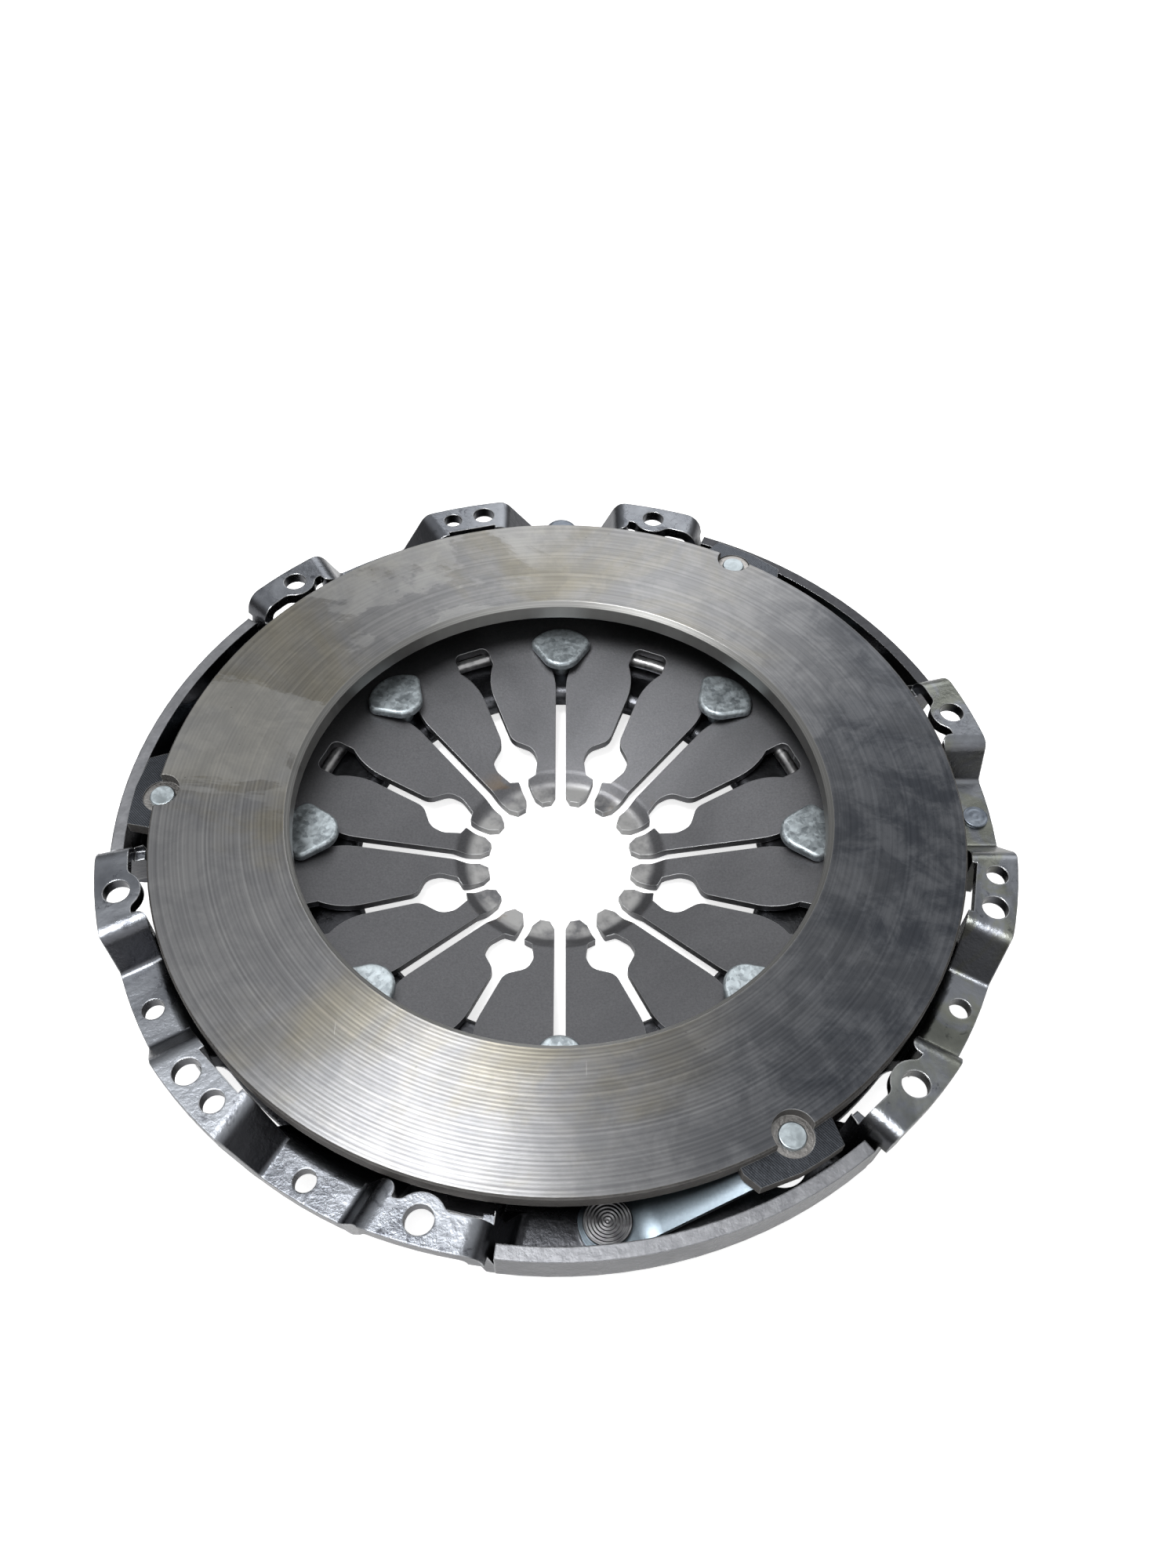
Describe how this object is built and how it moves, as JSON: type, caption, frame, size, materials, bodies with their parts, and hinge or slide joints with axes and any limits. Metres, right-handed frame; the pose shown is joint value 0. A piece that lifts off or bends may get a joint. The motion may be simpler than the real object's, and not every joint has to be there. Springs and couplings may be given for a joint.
{
  "type": "clutch pressure plate",
  "caption": "Diaphragm-spring clutch cover with a strap-driven pressure plate, bolt flange tabs, dowel holes and a fingered release spring.",
  "frame": {"origin": "on the axis, in the plane of the mounting faces that bolt to the flywheel", "axes": "+Z along the axis towards the flywheel, +X through the first balance pad, +Y completes a right-handed frame"},
  "size_m": [0.2563, 0.2576, 0.0365],
  "materials": {
    "cover_steel": "dark oiled phosphate over pressed sheet, worn bright on the bends",
    "plate_iron": "fine-turned friction face, rough cast elsewhere",
    "spring_steel": "dark shot-peened spring steel",
    "wire_steel": "drawn wire",
    "pivot_zinc": "pale zinc-phosphated, mottled",
    "strap_steel": "blue-grey rolled spring strip",
    "rivet_steel": "turned and set steel rivets"
  },
  "bodies": {
    "cover": {"cover": "cover_steel", "diaphragm_spring": "spring_steel", "fulcrum_ring": "wire_steel", "pivot_rivet_1": "pivot_zinc", "pivot_rivet_2": "pivot_zinc", "pivot_rivet_3": "pivot_zinc", "pivot_rivet_4": "pivot_zinc", "pivot_rivet_5": "pivot_zinc", "pivot_rivet_6": "pivot_zinc", "pivot_rivet_7": "pivot_zinc", "pivot_rivet_8": "pivot_zinc", "strap_a_leaf_1": "strap_steel", "strap_a_leaf_2": "strap_steel", "strap_a_leaf_3": "strap_steel", "strap_b_leaf_1": "strap_steel", "strap_b_leaf_2": "strap_steel", "strap_b_leaf_3": "strap_steel", "strap_c_leaf_1": "strap_steel", "strap_c_leaf_2": "strap_steel", "strap_c_leaf_3": "strap_steel", "strap_rivet_a": "rivet_steel", "strap_rivet_b": "rivet_steel", "strap_rivet_c": "rivet_steel", "balance_rivet_flat": "rivet_steel", "balance_rivet_dome": "rivet_steel"},
    "pressure_plate": {"pressure_plate": "plate_iron", "lug_rivet_a": "rivet_steel", "lug_rivet_b": "rivet_steel", "lug_rivet_c": "rivet_steel"}
  },
  "joints": [
    {"name": "plate_travel", "type": "slide", "parent": "cover", "child": "pressure_plate", "axis": [0, 0, 1], "range_m": [-0.005, 0], "stiffness_N_per_m": 80000, "deforming": ["diaphragm_spring", "strap_a_leaf_1", "strap_a_leaf_2", "strap_a_leaf_3", "strap_b_leaf_1", "strap_b_leaf_2", "strap_b_leaf_3", "strap_c_leaf_1", "strap_c_leaf_2", "strap_c_leaf_3"]}
  ]
}
